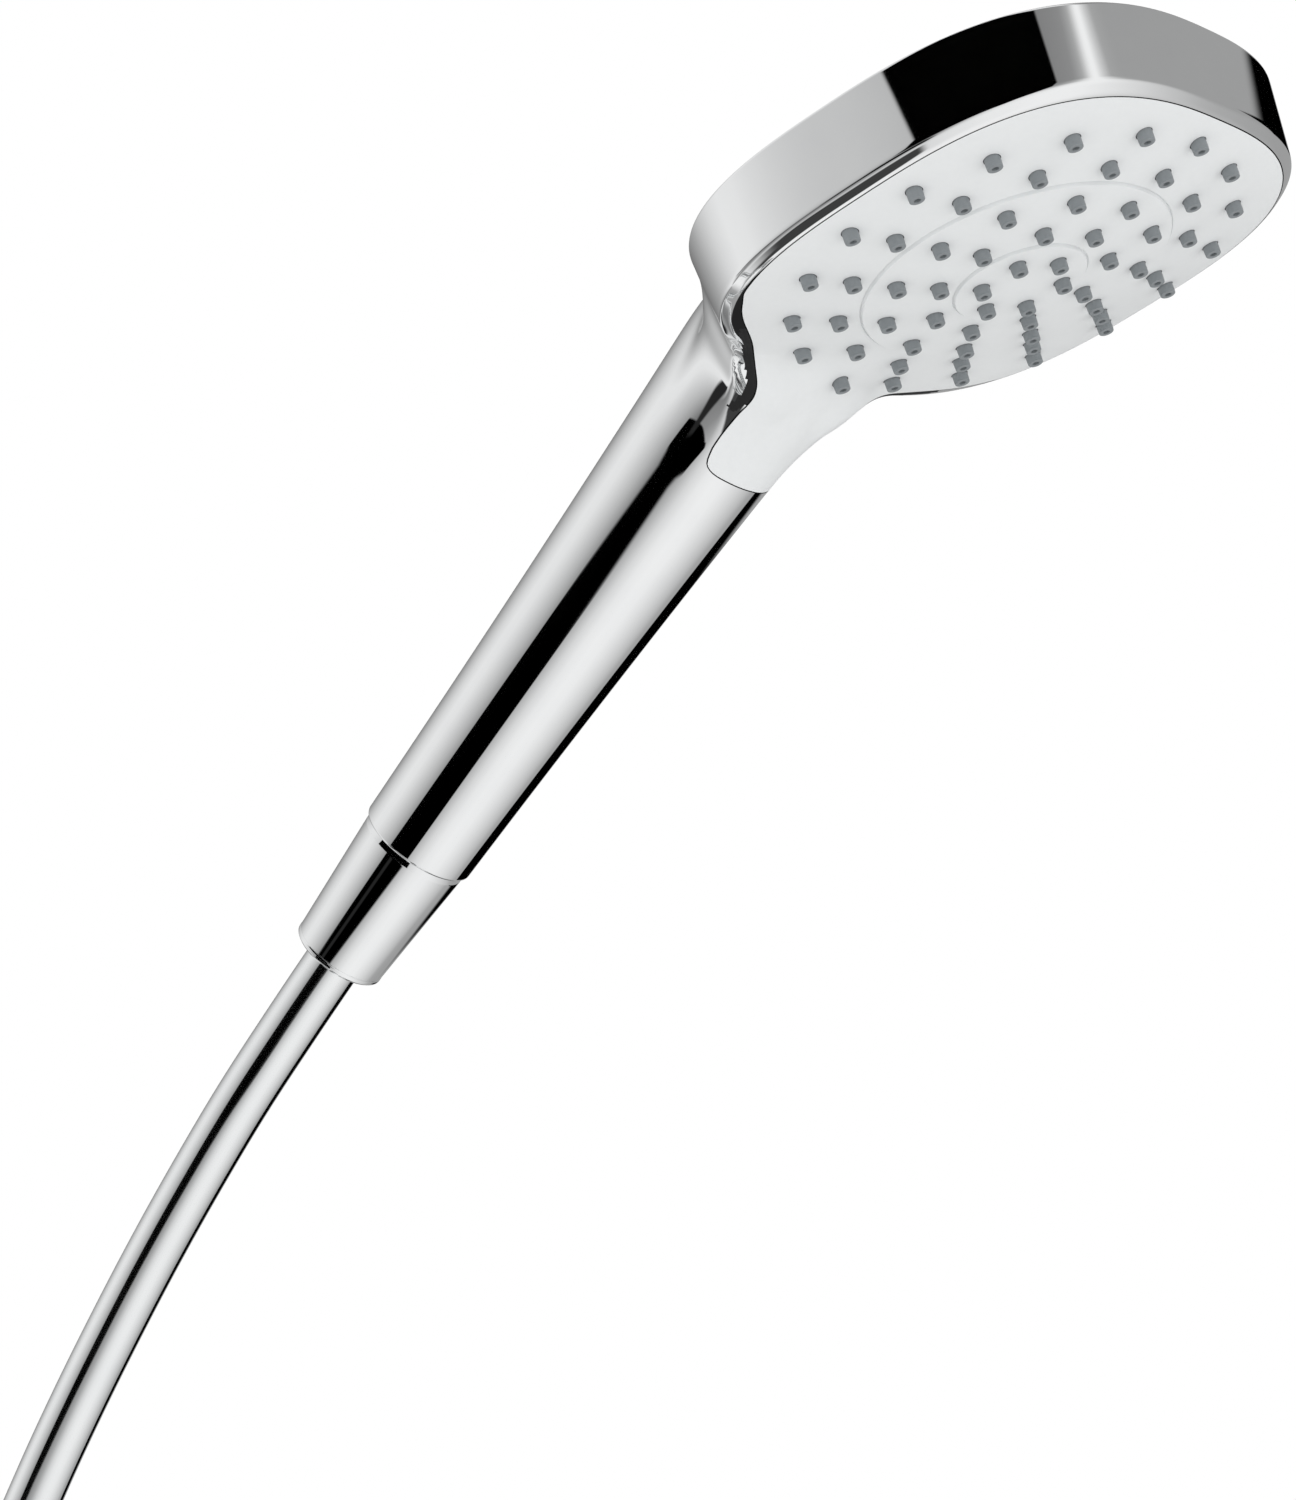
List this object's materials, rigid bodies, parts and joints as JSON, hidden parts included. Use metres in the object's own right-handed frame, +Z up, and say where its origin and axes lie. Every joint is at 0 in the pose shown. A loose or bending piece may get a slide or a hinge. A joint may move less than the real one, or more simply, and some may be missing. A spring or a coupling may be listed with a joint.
{
  "type": "handheld shower head",
  "caption": "Handheld shower head with a rounded-square spray face, conical handle, cone nut and a smooth hose whose spare length lies coiled.",
  "frame": {"origin": "middle of the cone nut, on its axis, where a conical wall holder grips the handset", "axes": "+Z up as hung in a holder, -Y towards the user (the side the water leaves), +X to the right seen from the back; X = 0 is the handset's plane of symmetry"},
  "size_m": [0.1995, 0.3424, 0.4603],
  "materials": {
    "chrome_abs": "polished chrome plating on moulded ABS",
    "face_abs": "light grey moulded ABS, satin gloss",
    "silicone_grey": "grey moulded silicone",
    "pom_grey": "moulded",
    "pom_white": "moulded",
    "pom_green": "moulded",
    "pom_orange": "moulded",
    "nbr_black": "moulded",
    "steel": "drawn wire and sheet",
    "brass": "turned",
    "chrome_brass": "polished chrome plating on turned brass",
    "hose_pvc": "clear plastic over a metallised wrap, smooth",
    "tie_fabric": "woven hook-and-loop strip"
  },
  "bodies": {
    "hose_line": {"hose_nipple": "brass", "swivel_ring": "pom_white", "crimp_sleeve": "chrome_brass", "hose": "hose_pvc", "hose_coil": "hose_pvc", "hose_tail": "hose_pvc", "hose_tie": "tie_fabric", "tap_sleeve": "chrome_brass", "tap_nipple": "brass"},
    "handset": {"casing": "chrome_abs", "spray_face": "face_abs", "nozzle_mat": "silicone_grey", "jet_plate": "pom_grey", "chamber_seal": "nbr_black", "chamber_cover": "pom_grey", "chamber_screws": "steel", "water_tube": "pom_white", "tube_seals": "nbr_black", "inlet_nipple": "brass", "nipple_seal": "nbr_black", "valve_body": "pom_white", "valve_seal": "nbr_black", "valve_spring": "steel", "flow_limiter": "pom_green", "limiter_ring": "nbr_black", "filter_washer": "nbr_black", "filter_mesh": "steel", "cone_nut": "chrome_brass"},
    "poppet": {"valve_poppet": "pom_orange", "poppet_seal": "nbr_black"},
    "tap_nut_body": {"tap_nut": "chrome_brass", "tap_washer": "nbr_black"}
  },
  "joints": [
    {"name": "handset_swivel", "type": "hinge", "parent": "hose_line", "child": "handset", "pos_m": [0, 0, 0], "axis": [0, -0.6428, 0.766], "continuous": true},
    {"name": "poppet_lift", "type": "slide", "parent": "handset", "child": "poppet", "axis": [0, -0.6428, 0.766], "range_m": [0, 0.002], "stiffness_N_per_m": 60, "springref_m": -0.001, "deforming": ["valve_spring"]},
    {"name": "tap_nut_spin", "type": "hinge", "parent": "hose_line", "child": "tap_nut_body", "pos_m": [-0.09036, 0.117, -0.2805], "axis": [0, 1, 0], "continuous": true}
  ]
}
